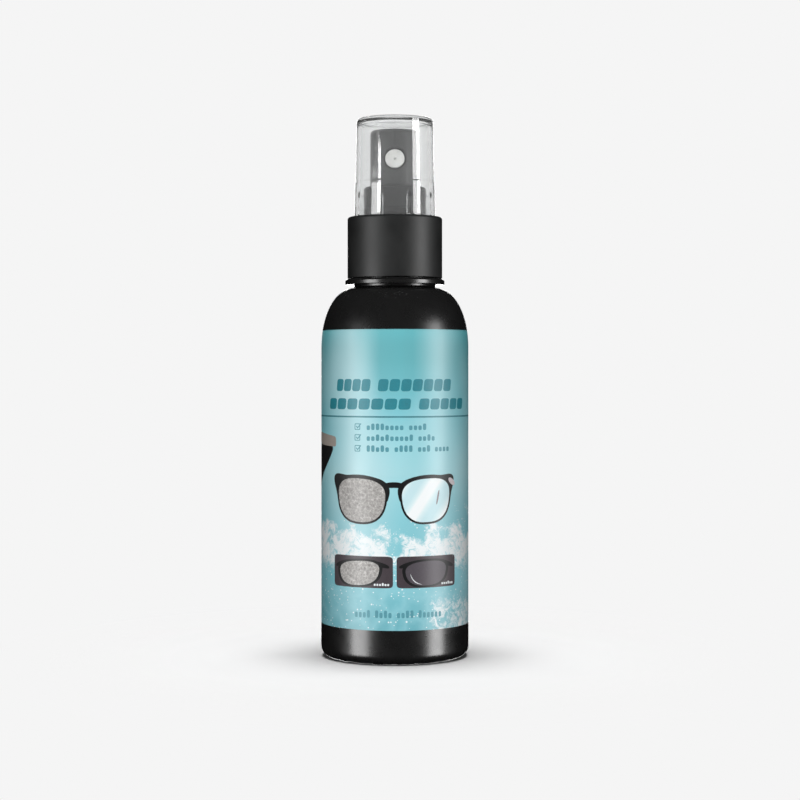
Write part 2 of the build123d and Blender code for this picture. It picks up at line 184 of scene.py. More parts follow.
def skin(name, grids, body, material, stands_for=(), on_label=None):
    """A piece whose faces cover grids of points in millimetres, each (rows, columns, xyz). A cell
    between neighbouring rows and columns is a face, and the last column joins the first. Points that
    coincide become one, so a row on one point closes a pole and its cells become triangles. on_label
    holds each point's (arc length, height) on the label, kept as an attribute of that name."""
    quads = []
    start = 0
    for grid in grids:
        rows, columns = grid.shape[:2]
        at = start + np.arange(rows * columns).reshape(rows, columns)
        beside = np.roll(at, -1, axis=1)
        quads.append(np.stack([at[:-1], beside[:-1], beside[1:], at[1:]], axis=-1).reshape(-1, 4))
        start += rows * columns
    points = np.concatenate([grid.reshape(-1, 3) for grid in grids]) * MM
    _, first, where = np.unique(np.round(points, 9), axis=0, return_index=True, return_inverse=True)
    faces = where.reshape(-1)[np.concatenate(quads)]
    shut = faces == np.roll(faces, -1, axis=1)
    sides = 4 - shut.sum(axis=1)
    triangles = faces[sides == 3][~shut[sides == 3]].reshape(-1, 3)
    mesh = bpy.data.meshes.new(name)
    mesh.from_pydata(points[first], [], faces[sides == 4].tolist() + triangles.tolist())
    mesh.shade_smooth()
    mesh.set_sharp_from_angle(angle=math.radians(CREASE))
    if on_label is not None:
        flat = np.concatenate([on_label.reshape(-1, 2), np.zeros((on_label.size // 2, 1))], axis=1)
        attribute = mesh.attributes.new("on_label", "FLOAT_VECTOR", "POINT")
        attribute.data.foreach_set("vector", flat[first].astype(np.float32).ravel())
    mesh.materials.append(material)
    made = bpy.data.objects.new(name, mesh)
    bpy.context.scene.collection.objects.link(made)
    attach(made, body)
    if stands_for:
        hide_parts(*stands_for)
    return made


def rounded(*outline):
    """An outline through (radius, z) or (radius, z, rounding) corners. A rounding is an arc that touches
    both sides at rounding / tan(half the corner's angle) from the corner, its directions from the arc's
    centre being evenly spaced between those of its two ends. Long sides are then divided evenly."""
    places = np.array([corner[:2] for corner in outline], float)
    points = [places[:1]]
    for i in range(1, len(outline) - 1):
        if len(outline[i]) < 3:
            points.append(places[i : i + 1])
            continue
        radius = outline[i][2]
        to_last = places[i - 1] - places[i]
        to_next = places[i + 1] - places[i]
        to_last /= np.linalg.norm(to_last)
        to_next /= np.linalg.norm(to_next)
        half = math.acos(np.clip(to_last @ to_next, -1, 1)) / 2
        middle = (to_last + to_next) / np.linalg.norm(to_last + to_next)
        centre = places[i] + middle * radius / math.sin(half)
        sweep = np.linspace(-1, 1, ARC_POINTS)[:, None] * (math.pi / 2 - half)
        across = to_next - to_last
        across /= np.linalg.norm(across)
        points.append(centre + radius * (np.sin(sweep) * across - np.cos(sweep) * middle))
    points.append(places[-1:])
    corner_points = np.concatenate(points)
    sides = np.linalg.norm(np.diff(corner_points, axis=0), axis=1)
    counts = np.maximum(1, np.round(sides / OUTLINE_STEP).astype(int))
    at = np.concatenate([k + np.arange(n) / n for k, n in enumerate(counts)] + [[len(sides)]])
    known = np.arange(len(corner_points))
    return np.stack([np.interp(at, known, line) for line in corner_points.T], axis=-1)


# --- Materials -------------------------------------------------------------------------------------


def black_pet():
    """Blow moulded PET, black: deep gloss over a barely uneven wall, with a faint parting line down each
    side."""
    material, tree, shader = finish(
        "black_blow_moulded_pet", base_color=linear("#131313"), ior=1.57, specular_ior_level=0.5
    )
    place = node(tree, "TexCoord").outputs["Object"]
    # a blown wall is never quite even: waves about 12 mm long bend the reflections a little
    waves = node(tree, "TexNoise", links={"Vector": place, "Scale": per_metre(12.5), "Detail": 1.0})
    # handling marks, patches about 4 mm wide, dull the gloss here and there
    marks = node(tree, "TexNoise", links={"Vector": place, "Scale": per_metre(4), "Detail": 4.0})
    gloss = node(tree, "MapRange", links={"Value": marks, **MOST_NOISE, "To Min": 0.25, "To Max": 0.31})
    # the two halves of the mould meet in a line 0.12 mm wide
    depth = node(tree, "SeparateXYZ", links={"Vector": place})
    off = node(tree, "Math", {"operation": "ABSOLUTE"}, {0: depth.outputs["Y"]})
    line = node(
        tree,
        "MapRange",
        SMOOTH,
        {"Value": off, "From Min": 0.00002, "From Max": 0.00008, "To Min": 0.04, "To Max": 0.0},
    )
    height = node(tree, "Math", {"operation": "ADD"}, {0: waves, 1: line})
    bump = node(tree, "Bump", links={"Strength": 0.25, "Distance": 0.0004, "Height": height})
    feed(shader, roughness=gloss, normal=bump)
    return material


def black_pp(name, light, dark, roughness):
    """Injection moulded polypropylene, black: satin from a finely eroded mould, or smoother from a
    polished one. Its colour carries painted shade: it darkens where another wall is within 3 mm, as in
    its grooves."""
    material, tree, shader = finish(name, ior=1.49, specular_ior_level=0.35)
    place = node(tree, "TexCoord").outputs["Object"]
    # the mould's grain is 0.05 mm; it is drawn at 0.3 mm so that it shows
    grain = node(tree, "TexNoise", links={"Vector": place, "Scale": per_metre(0.303), "Detail": 2.0})
    # flow and shrinkage leave soft lighter and darker areas about 6 mm wide
    flow = node(tree, "TexNoise", links={"Vector": place, "Scale": per_metre(6.25), "Detail": 3.0})
    colour = node(tree, "ValToRGB", links={"Fac": flow}, stops=[(0.3, dark), (0.7, light)])
    # painted shade: the colour is darkened by the square of the occlusion within 3 mm, deepest in grooves
    # and recesses
    open_sky = node(tree, "AmbientOcclusion", {"samples": 4}, {"Distance": 0.003}).outputs["AO"]
    clear = node(tree, "Math", {"operation": "POWER"}, {0: open_sky, 1: 2.0})
    shade = node(tree, "Mix", COLOURS, {"Factor": clear, "A": (0.0, 0.0, 0.0, 1.0), "B": colour})
    rough = node(
        tree,
        "MapRange",
        links={"Value": flow, **MOST_NOISE, "To Min": roughness * 0.94, "To Max": roughness * 1.06},
    )
    bump = node(tree, "Bump", links={"Strength": 0.15, "Distance": 0.00003, "Height": grain})
    feed(shader, base_color=shade, roughness=rough, normal=bump)
    return material


def clear_san():
    """Styrene acrylonitrile, clear and polished: glassy, with a trace of grey, and just milky enough to
    veil what is dark behind it."""
    material, tree, shader = finish(
        "clear_styrene_acrylonitrile",
        base_color=linear("#f1f2f2"),
        ior=1.57,
        transmission_weight=0.97,
    )
    place = node(tree, "TexCoord").outputs["Object"]
    # rubbing in the box leaves hazy patches about 5 mm wide
    haze = node(tree, "TexNoise", links={"Vector": place, "Scale": per_metre(5), "Detail": 5.0})
    rough = node(
        tree,
        "MapRange",
        links={"Value": haze, "From Min": 0.35, "From Max": 0.75, "To Min": 0.04, "To Max": 0.09},
    )
    # sink marks about 10 mm long bend the reflections
    waves = node(tree, "TexNoise", links={"Vector": place, "Scale": per_metre(10), "Detail": 1.0})
    bump = node(tree, "Bump", links={"Strength": 0.1, "Distance": 0.0003, "Height": waves})
    feed(shader, roughness=rough, normal=bump)
    # light reaches the black parts inside: a clear wall casts hardly any shadow
    shadow = node(tree, "LightPath").outputs["Is Shadow Ray"]
    passing = node(tree, "Math", {"operation": "MULTIPLY"}, {0: shadow, 1: 0.9})
    open_air = node(tree, "BsdfTransparent")
    wall = node(tree, "MixShader", links={"Fac": passing, 1: shader, 2: open_air})
    tree.links.new(wall.outputs["Shader"], tree.nodes["Material Output"].inputs["Surface"])
    return material


def moulded(name, light, dark, roughness, area, **constants):
    """A pale moulded plastic: soft lighter and darker areas, each about area mm wide, and a roughness
    that varies with them."""
    material, tree, shader = finish(name, **constants)
    place = node(tree, "TexCoord").outputs["Object"]
    areas = node(tree, "TexNoise", links={"Vector": place, "Scale": per_metre(area), "Detail": 3.0})
    colour = node(tree, "ValToRGB", links={"Fac": areas}, stops=[(0.3, dark), (0.7, light)])
    rough = node(
        tree,
        "MapRange",
        links={"Value": areas, **MOST_NOISE, "To Min": roughness * 0.9, "To Max": roughness * 1.1},
    )
    bump = node(tree, "Bump", links={"Strength": 0.1, "Distance": 0.00005, "Height": areas})
    feed(shader, base_color=colour, roughness=rough, normal=bump)
    return material


def drawn_steel(name, roughness, groove):
    """Stainless steel, drawn or lapped: bright grey, its shine broken by marks that are groove mm wide.
    Real ones are a few hundredths; they are drawn coarser so that they show."""
    material, tree, shader = finish(name, base_color=linear("#c9c9c7"), metallic=1.0)
    place = node(tree, "TexCoord").outputs["Object"]
    lines = node(tree, "TexNoise", links={"Vector": place, "Scale": per_metre(groove), "Detail": 2.0})
    rough = node(
        tree,
        "MapRange",
        links={"Value": lines, **MOST_NOISE, "To Min": roughness, "To Max": roughness * 1.5},
    )
    bump = node(tree, "Bump", links={"Strength": 0.08, "Distance": 0.00002, "Height": lines})
    feed(shader, roughness=rough, normal=bump)
    return material


def ink(name, hex_colour):
    """Gravure ink on film: an even satin colour, with the faint mottle of its cells. They are 0.15 mm
    wide, drawn 0.4 mm wide so that they show."""
    material, tree, shader = finish(name, ior=1.5, specular_ior_level=0.35)
    place = node(tree, "TexCoord").outputs["Object"]
    mottle = node(tree, "TexNoise", links={"Vector": place, "Scale": per_metre(0.4), "Detail": 2.0})
    amount = node(tree, "MapRange", links={"Value": mottle, **MOST_NOISE, "To Min": 0.93, "To Max": 1.07})
    colour = node(tree, "HueSaturation", links={"Value": amount, "Color": linear(hex_colour)})
    rough = node(tree, "MapRange", links={"Value": mottle, **MOST_NOISE, "To Min": 0.42, "To Max": 0.47})
    feed(shader, base_color=colour, roughness=rough)
    return material


def hazed_lens_ink():
    """Printed picture of a scratched lens: grey, mottled and cut by fine lines."""
    material, tree, shader = finish("printed_hazed_lens", ior=1.5, roughness=0.42, specular_ior_level=0.35)
    place = node(tree, "TexCoord").outputs["Object"]
    # blotches about 0.9 mm wide, broken up finely
    blotches = node(
        tree,
        "TexNoise",
        links={"Vector": place, "Scale": per_metre(0.909), "Detail": 8.0, "Roughness": 0.8},
    )
    # scratches, the edges of cells about 1.2 mm wide
    cells = node(
        tree, "TexVoronoi", {"feature": "DISTANCE_TO_EDGE"}, {"Vector": place, "Scale": per_metre(1.176)}
    )
    scratch = node(
        tree,
        "MapRange",
        links={"Value": cells, "From Min": 0.0, "From Max": 0.12, "To Min": 0.1, "To Max": 0.0},
    )
    mixed = node(tree, "Math", {"operation": "ADD"}, {0: blotches, 1: scratch})
    colour = node(
        tree,
        "ValToRGB",
        links={"Fac": mixed},
        stops=[(0.28, "#6f6c6a"), (0.46, "#989592"), (0.58, "#b4b1ae"), (0.75, "#e2e0de")],
    )
    feed(shader, base_color=colour)
    return material


def clear_lens_ink():
    """Printed picture of a clean lens: white to pale aqua, with slanting bands of glare."""
    material, tree, shader = finish("printed_clear_lens", ior=1.5, roughness=0.42, specular_ior_level=0.35)
    place = node(tree, "TexCoord").outputs["Object"]
    # bands lean 35 degrees and repeat every 7.5 mm, where a wave texture's own length is 2 pi / 20
    turned = node(tree, "Mapping", links={"Vector": place, "Rotation": (0.0, math.radians(-35), 0.0)})
    bands = node(
        tree,
        "TexWave",
        {"bands_direction": "X"},
        {
            "Vector": turned,
            "Scale": per_metre(7.48) * math.pi / 10,
            "Distortion": 0.6,
            "Detail": 1.0,
            "Detail Scale": 1.0,
        },
    )
    colour = node(
        tree,
        "ValToRGB",
        links={"Fac": bands},
        stops=[(0.1, "#c9e9ef"), (0.55, "#dff3f6"), (0.85, "#f7fcfd")],
    )
    feed(shader, base_color=colour)
    return material


WATER_BY_HEIGHT = [
    (0.0, "#68b3bf"),
    (0.16, "#7cc6d2"),
    (0.36, "#86ccd7"),
    (0.52, "#9fd8e0"),
    (0.62, "#8cd2dc"),
    (0.74, "#74c4cf"),
    (0.9, "#5fb2ba"),
    (1.0, "#5cb0b8"),
]
PAINTED_HIGHLIGHT_BY_SIDE = [                # painted highlight: how much the print is lightened across the front, where the gloss highlights fall, from 24 mm left to 24 mm right
    (0.0, "#000000"),
    (0.24, "#c0c0c0"),
    (0.42, "#303030"),
    (0.6, "#101010"),
    (0.78, "#a8a8a8"),
    (1.0, "#000000"),
]
FRONT_HALF = 24.0


# In the label's picture place is (arc length from the front, height) in millimetres, and a pattern's
# scale is 1 over its size in millimetres.


def water(tree, place, side, height):
    """The water's colour: deep teal above, paler in the middle, with light slanting in, and painted
    highlights at both sides of the front.
    """
    rise = node(tree, "MapRange", links={"Value": height, "From Min": LABEL_FOOT, "From Max": LABEL_TOP})
    depth = node(tree, "ValToRGB", links={"Fac": rise}, stops=WATER_BY_HEIGHT)
    # slanting light, soft patches about 22 mm across
    slant = node(
        tree, "Mapping", links={"Vector": place, "Rotation": (0.0, 0.0, 0.7), "Scale": (1.0, 0.45, 1.0)}
    )
    beams = node(tree, "TexNoise", links={"Vector": slant, "Scale": 1 / 22.22, "Detail": 1.0})
    beam = node(
        tree, "MapRange", SMOOTH, {"Value": beams, "From Min": 0.45, "From Max": 0.7, "To Max": 0.45}
    )
    slanting = node(tree, "Mix", COLOURS, {"Factor": beam, "A": depth, "B": linear("#c4e8ee")})
    # painted highlights at both sides of the front, strongest above the middle
    front = node(tree, "MapRange", links={"Value": side, "From Min": -FRONT_HALF, "From Max": FRONT_HALF})
    painted_highlight_bands = node(tree, "ValToRGB", links={"Fac": front}, stops=PAINTED_HIGHLIGHT_BY_SIDE)
    painted_highlight_by_height = node(
        tree,
        "MapRange",
        SMOOTH,
        {"Value": height, "From Min": 30.0, "From Max": 60.0, "To Min": 0.25, "To Max": 0.8},
    )
    painted_highlight = node(tree, "Math", {"operation": "MULTIPLY"}, {0: painted_highlight_bands, 1: painted_highlight_by_height})
    return node(tree, "Mix", COLOURS, {"Factor": painted_highlight, "A": slanting, "B": linear("#d2edf1")})


def ripples(tree, stirred, height):
    """How much of the ripples' pale veins shows: the edges of cells about 5 mm wide, below the foam."""
    veins = node(tree, "TexVoronoi", {"feature": "DISTANCE_TO_EDGE"}, {"Vector": stirred, "Scale": 1 / 5})
    vein = node(
        tree,
        "MapRange",
        links={"Value": veins, "From Min": 0.0, "From Max": 0.3, "To Min": 0.3, "To Max": 0.0},
    )
    low_water = node(tree, "MapRange", SMOOTH, {"Value": height, "From Min": 34.0, "From Max": 18.0})
    return node(tree, "Math", {"operation": "MULTIPLY"}, {0: vein, 1: low_water})


def foam_and_spray(tree, place, stirred, side, height):
    """How white the picture is: fractal noise over a level that the foam's band and a splash lower, and
    round drops of spray where the foam is near."""
    # the foam's top sways by 5 mm either way over about 6 mm, and dips in the middle
    crest = node(tree, "TexNoise", links={"Vector": place, "Scale": 1 / 6.25, "Detail": 1.0})
    sway = node(tree, "MapRange", links={"Value": crest, **MOST_NOISE, "To Min": -5.0, "To Max": 5.0})
    swayed = node(tree, "Math", {"operation": "ADD"}, {0: height, 1: sway})
    off_middle = node(tree, "Math", {"operation": "ABSOLUTE"}, {0: side})
    dip = node(
        tree,
        "MapRange",
        SMOOTH,
        {"Value": off_middle, "From Min": 0.5, "From Max": 4.5, "To Min": 5.5, "To Max": -0.5},
    )
    level = node(tree, "Math", {"operation": "ADD"}, {0: swayed, 1: dip})
    over = node(tree, "MapRange", SMOOTH, {"Value": level, "From Min": 42.0, "From Max": 31.5})
    under = node(tree, "MapRange", SMOOTH, {"Value": height, "From Min": 18.0, "From Max": 29.0})
    band = node(tree, "Math", {"operation": "MULTIPLY"}, {0: over, 1: under})
    # a second splash at the lower right
    aside = node(tree, "MapRange", SMOOTH, {"Value": side, "From Min": 2.0, "From Max": 14.0})
    low = node(
        tree, "MapRange", SMOOTH, {"Value": height, "From Min": 26.0, "From Max": 13.0, "To Max": 0.85}
    )
    splash = node(tree, "Math", {"operation": "MULTIPLY"}, {0: aside, 1: low})
    amount = node(tree, "Math", {"operation": "MAXIMUM"}, {0: band, 1: splash})
    # froth in clumps about 2.4 mm wide, broken up to a tenth of that
    froth = node(
        tree,
        "TexNoise",
        links={
            "Vector": stirred,
            "Scale": 1 / 2.381,
            "Detail": 10.0,
            "Roughness": 0.76,
            "Distortion": 0.9,
        },
    )
    need = node(tree, "MapRange", links={"Value": amount, "To Min": 0.8, "To Max": 0.34})
    excess = node(tree, "Math", {"operation": "SUBTRACT"}, {0: froth, 1: need})
    foam = node(
        tree, "MapRange", SMOOTH, {"Value": excess, "From Min": -0.02, "From Max": 0.2, "To Max": 0.95}
    )
    # drops up to 0.65 mm wide, one to a cell of about 0.8 mm, and none in many cells
    drops = node(tree, "TexVoronoi", {"feature": "F1"}, {"Vector": place, "Scale": 1 / 0.7692})
    size = node(
        tree,
        "MapRange",
        links={"Value": drops.outputs["Color"], "From Min": 0.35, "From Max": 1.0, "To Max": 0.42},
    )
    near = node(tree, "MapRange", SMOOTH, {"Value": level, "From Min": 48.0, "From Max": 36.0})
    reach = node(tree, "Math", {"operation": "MULTIPLY"}, {0: size, 1: near})
    inside = node(tree, "Math", {"operation": "SUBTRACT"}, {0: reach, 1: drops.outputs["Distance"]})
    drop = node(
        tree, "MapRange", SMOOTH, {"Value": inside, "From Min": 0.0, "From Max": 0.08, "To Max": 0.9}
    )
    return node(tree, "Math", {"operation": "MAXIMUM"}, {0: foam, 1: drop})


def label_film():
    """Printed shrink film, satin gloss: an aqua picture of water, deep above, light behind the middle,
    with a band of foam, spray over it, and ripples and a splash below, and painted highlights at both
    sides of the front."""
    material, tree, shader = finish("printed_aqua_shrink_film", ior=1.5, specular_ior_level=0.35)
    place = node(tree, "Attribute", {"attribute_name": "on_label"}).outputs["Vector"]
    parts = node(tree, "SeparateXYZ", links={"Vector": place})
    side, height = parts.outputs["X"], parts.outputs["Y"]
    # swirls about 3 mm wide move the ripples and the froth by up to 3 mm
    swirl = node(tree, "TexNoise", links={"Vector": place, "Scale": 1 / 3.333, "Detail": 3.0})
    shift = node(
        tree, "VectorMath", {"operation": "SCALE"}, {"Vector": swirl.outputs["Color"], "Scale": 3.0}
    )
    stirred = node(tree, "VectorMath", {"operation": "ADD"}, {0: place, 1: shift})
    rippled = node(
        tree,
        "Mix",
        COLOURS,
        {
            "Factor": ripples(tree, stirred, height),
            "A": water(tree, place, side, height),
            "B": linear("#a9dfe8"),
        },
    )
    white = foam_and_spray(tree, place, stirred, side, height)
    colour = node(tree, "Mix", COLOURS, {"Factor": white, "A": rippled, "B": linear("#f6fafb")})
    # the film shrinks a little unevenly, over about 7 mm, and its gloss varies with that
    shrink = node(tree, "TexNoise", links={"Vector": place, "Scale": 1 / 7.143, "Detail": 3.0})
    gloss = node(tree, "MapRange", links={"Value": shrink, **MOST_NOISE, "To Min": 0.4, "To Max": 0.46})
    bump = node(tree, "Bump", links={"Strength": 0.06, "Distance": 0.0003, "Height": shrink})
    feed(shader, base_color=colour, roughness=gloss, normal=bump)
    return material


# --- Materials on the frame's own pieces -----------------------------------------------------------

PET = black_pet()
SATIN_PP = black_pp("black_satin_polypropylene", "#1e1f1f", "#171818", 0.5)
POLISHED_PP = black_pp("black_polished_polypropylene", "#3f4040", "#353636", 0.3)
SAN = clear_san()
FILM = label_film()
# milky white, neither matt nor glossy
NATURAL_PP = moulded("natural_polypropylene", "#dcddd8", "#cfd0ca", 0.38, 4.0, ior=1.49)
# clean white, with a hard gloss
ACETAL = moulded("white_acetal", "#dfdfdd", "#d3d3d0", 0.3, 2.0, ior=1.48)
# waxy, a little yellow
NATURAL_PE = moulded("natural_polyethylene", "#d6d7d1", "#c9cac4", 0.45, 1.5, ior=1.51)
# glossy and half clear, so that what is behind shows as a shade
TUBE_PE = moulded(
    "extruded_polyethylene", "#e4e6e6", "#d6d9da", 0.3, 6.0, ior=1.51, transmission_weight=0.45
)
# off-white and dull, as soft rubber is
SEAL = moulded("moulded_seal_elastomer", "#c9c8c3", "#b9b8b2", 0.62, 1.0, ior=1.5)
WIRE = drawn_steel("drawn_stainless_wire", 0.22, 0.2)
BALL = drawn_steel("lapped_stainless_ball", 0.06, 0.5)

CARRIED = {
    "bottle": PET,
    "closure": SATIN_PP,
    "turret": POLISHED_PP,
    "actuator": POLISHED_PP,
    "neck_gasket": SEAL,
    "stem_seal": SEAL,
    "pump_housing": NATURAL_PP,
    "ball_cage": NATURAL_PP,
    "stem": ACETAL,
    "valve_pin": ACETAL,
    "nozzle_insert": ACETAL,
    "piston": NATURAL_PE,
    "dip_tube": TUBE_PE,
    "inlet_ball": BALL,
}
for name, material in CARRIED.items():
    for material_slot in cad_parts[name].material_slots:
        material_slot.material = material


# --- Label sleeve ----------------------------------------------------------------------------------


def label_sleeve():
    """The film: a sheet between two faces, carried round from -180 degrees to a little past 180, where
    its edge laps over its start. Its radius is constant to the shoulder, and from there
    r = c + (R - c) sqrt(1 - ((z - z0) / rise)^2). Both ends close on the outer face."""
    height = np.concatenate(
        [np.linspace(LABEL_FOOT, SHOULDER_START, 40), np.linspace(SHOULDER_START, LABEL_TOP, 13)[1:]]
    )
    up = np.clip((height - SHOULDER_START) / SHOULDER_RISE, 0, 1)
    outer = SHOULDER_NECK + (LABEL_RADIUS - SHOULDER_NECK) * np.sqrt(1 - up**2)
    radius = np.concatenate([outer[::-1], outer - FILM_THICKNESS])
    height = np.concatenate([height[::-1], height])
    angle = np.radians(np.linspace(-180, 180 + FILM_OVERLAP, 275))
    radius = np.tile(radius, (len(angle), 1))
    radius[0] = radius[-1] = np.concatenate([outer[::-1], outer])
    radius[angle > math.pi + 0.001] += FILM_LAP
    turn = angle[:, None] + 0 * radius
    lift = height[None, :] + 0 * radius
    grid = np.stack([radius * np.sin(turn), -radius * np.cos(turn), lift], axis=-1)
    across = np.stack([turn * LABEL_RADIUS, lift], axis=-1)
    skin("label_film_sleeve", [grid], "bottle", FILM, ["label_sleeve"], on_label=across)


# --- Print on the label ----------------------------------------------------------------------------
# u is the arc length from the front, in millimetres to the reader's right, and v the height.


def outline_of(half_width, half_height, power=2.0, points=None):
    """A closed outline about (0, 0), a superellipse: at the angle a, x = w |cos a|^(2/p) and
    y = h |sin a|^(2/p) with the signs of cos a and sin a, its points then spaced evenly."""
    a = np.arange(721) * 2 * math.pi / 720
    x = half_width * np.sign(np.cos(a)) * np.abs(np.cos(a)) ** (2 / power)
    y = half_height * np.sign(np.sin(a)) * np.abs(np.sin(a)) ** (2 / power)
    return evenly(np.stack([x, y], axis=-1), points)


def evenly(loop, points=None):
    """A closed line, its last point on its first, as points spaced evenly along its length."""
    length = np.concatenate([[0], np.cumsum(np.hypot(*np.diff(loop, axis=0).T))])
    count = points or max(20, math.ceil(length[-1] / INK_POINTS))
    at = np.arange(count) * length[-1] / count
    return np.stack([np.interp(at, length, loop[:, 0]), np.interp(at, length, loop[:, 1])], axis=-1)


def patch(outline):
    """The flat grid that fills an outline: ring k is centre + (1 - k/n) (outline - centre), with the
    rings close enough to follow the bottle's curve once they are wrapped round it."""
    centre = (outline.max(axis=0) + outline.min(axis=0)) / 2
    rings = 2 + int(np.abs(outline - centre).max() / INK_RINGS)
    share = np.linspace(1, 0, rings)[:, None, None]
    return centre + share * (outline - centre)


def between(outer, inner):
    """The flat grid of a band from an outer outline to an inner one, point by point."""
    share = np.linspace(0, 1, 3)[:, None, None]
    return outer + share * (inner - outer)


def placed(flat, u, v, lean=0.0, bend=0.0, tilt=0.0):
    """A flat grid moved to (u, v), after x has moved by lean times y, y by bend times x squared, and all
    of it has been turned by tilt degrees."""
    x = flat[..., 0] + lean * flat[..., 1]
    y = flat[..., 1] + bend * flat[..., 0] ** 2
    t = math.radians(tilt)
    turned = [u + x * math.cos(t) - y * math.sin(t), v + x * math.sin(t) + y * math.cos(t)]
    return np.stack(turned, axis=-1)


def block(u, v, half_width, half_height, power=2.0, lean=0.0, bend=0.0, tilt=0.0):
    """A filled superellipse at (u, v)."""
    return placed(patch(outline_of(half_width, half_height, power)), u, v, lean, bend, tilt)


def printed(name, flats, layer, material):
    """A printed area, closed all round: flat grids of (u, v) wrapped on the label's face, x = r sin(u/R),
    y = -r cos(u/R) and z = v. The outer face is one ink layer over the layer below, the inner face lies
    an ink's thickness under it, and a wall joins them along the outline."""
    face = LABEL_RADIUS + INK_LAYER * layer
    grids = []
    for flat in flats:
        depth = np.ones(flat.shape[:2] + (1,))
        inner = np.concatenate([flat[::-1], depth * (face - INK_THICKNESS)], axis=-1)
        outer = np.concatenate([flat, depth * face], axis=-1)
        loop = np.concatenate([inner, outer, inner[:1]])
        turn, radius = loop[..., 0] / LABEL_RADIUS, loop[..., 2]
        grids.append(np.stack([radius * np.sin(turn), -radius * np.cos(turn), loop[..., 1]], axis=-1))
    return skin(name, grids, "bottle", material)


def word(left, right, low, high, letters, lean):
    """Letter-wide rounded blocks that stand for a word, with a gap of an eighth of a letter."""
    pitch = (right - left) / letters
    middle, half = (low + high) / 2, (high - low) / 2
    return [
        block(left + pitch * (k + 0.5), middle, pitch * 0.44, half, 5.0, lean) for k in range(letters)
    ]


TALL_SHARE = 0.35               # of a line's letters, as d, h and l are
LOW_LETTER = 0.7                # of a tall one's height
WORD_SPACE = 0.9                # of a letter's pitch


def small_words(left, low, height, widths, pitch, seed):
    """A line of small print: narrow blocks, tall or low as letters are, from a seeded draw, in words of
    the given widths in letters."""
    draw = np.random.default_rng(seed)
    blocks = []
    place = left
    for letters in widths:
        for _ in range(letters):
            tall = height if draw.random() < TALL_SHARE else height * LOW_LETTER
            blocks.append(block(place + pitch / 2, low + tall / 2, pitch * 0.36, tall / 2, 4.0))
            place += pitch
        place += pitch * WORD_SPACE
    return blocks


TEAL_INK = ink("teal_heading_ink", "#1a8290")
TEXT_INK = ink("blue_grey_text_ink", "#4f97a5")
RULE_INK = ink("dark_teal_rule_ink", "#37808b")
BLACK_INK = ink("black_ink", "#0c0c0e")
PLUM_INK = ink("dark_plum_ink", "#40363c")
SMOKE_INK = ink("smoke_ink", "#4c454d")
GREY_INK = ink("warm_grey_ink", "#8d8389")
BLUSH_INK = ink("pale_blush_ink", "#cfc6ca")
PALE_INK = ink("pale_glare_ink", "#e9eef0")
CLOTH_INK = ink("grey_cloth_ink", "#a39a92")
HAZED = hazed_lens_ink()
CLEAR = clear_lens_ink()

HEADING_LEAN = 0.12
HEADING = (                     # each word's left, right, low, high and letters
    (-17.6, -6.4, 71.8, 75.0, 4),
    (-4.6, 16.8, 71.8, 75.0, 7),
    (-21.0, 4.4, 67.0, 69.9, 7),
    (6.3, 22.5, 67.0, 69.9, 5),
)
RULE_EDGES = (64.9, 65.3)

CHECK_ROWS = ((8, 4), (10, 4), (5, 4, 3, 4))
CHECK_TOP = 62.5                # the first row's middle
CHECK_PITCH = 2.85
CHECK_BOX = -10.3
CHECK_TEXT = -7.75
CHECK_HEIGHT = 1.7


def heading():
    """Two lines of letter-wide blocks in capitals' height, over a rule that goes right round."""
    blocks = [one for span in HEADING for one in word(*span, HEADING_LEAN)]
    printed("print_heading", blocks, 1, TEAL_INK)
    around = np.linspace(-math.pi, math.pi, 240, endpoint=False) * LABEL_RADIUS
    rule = np.stack([np.stack([around, around * 0 + v], axis=-1) for v in RULE_EDGES])
    printed("print_rule", [rule], 1, RULE_INK)


def checks():
    """Three rows, each a ticked box and a line of small print."""
    boxes = []
    lines = []
    box = between(outline_of(0.85, 0.85, 9.0, 32), outline_of(0.62, 0.62, 9.0, 32))
    for row, widths in enumerate(CHECK_ROWS):
        v = CHECK_TOP - CHECK_PITCH * row
        boxes.append(placed(box, CHECK_BOX, v))
        boxes.append(block(CHECK_BOX - 0.12, v - 0.12, 0.42, 0.15, 4.0, tilt=-48))
        boxes.append(block(CHECK_BOX + 0.58, v + 0.24, 0.82, 0.15, 4.0, tilt=50))
        lines += small_words(CHECK_TEXT, v - CHECK_HEIGHT / 2, CHECK_HEIGHT, widths, 1.27, row)
    printed("print_ticks", boxes, 1, TEXT_INK)
    printed("print_check_lines", lines, 1, TEXT_INK)
    net = small_words(-11.2, 12.5, 2.0, (4, 4, 4, 6), 1.18, 7)
    printed("print_net_line", net, 1, TEXT_INK)


BRIDGE = -0.33                  # the spectacles' middle
LENS_APART = 9.28
LENS_HEIGHT = 43.2
LENS_HALVES = (7.0, 5.75)
END_PIECE = 36                  # degrees up from the lens's middle, with its spread
END_SPREAD = 14
BRIDGE_SIDE = 155
BRIDGE_SPREAD = 22
BRIDGE_SHARE = 0.3              # of the end piece's size

TILES = (("left", -18.5, -0.5), ("right", 0.45, 18.3))
TILE_MIDDLE = 24.45
TILE_HALF = 4.15
TILE_LENS = (-0.6, 24.1)        # from the tile's middle, and up
TILE_LENS_HALVES = (6.1, 3.3)


def lens_shape(half_width, half_height):
    """A lens's outline about (0, 0), as seen at the right of a pair: a superellipse whose x is widened by
    1 + 0.13 y/h, so that it narrows downwards, and whose y is raised by 0.05 x."""
    shape = outline_of(half_width, half_height, 2.6, 110)
    x = shape[:, 0] * (1 + 0.13 * shape[:, 1] / half_height)
    return np.stack([x, shape[:, 1] + 0.05 * x], axis=-1)


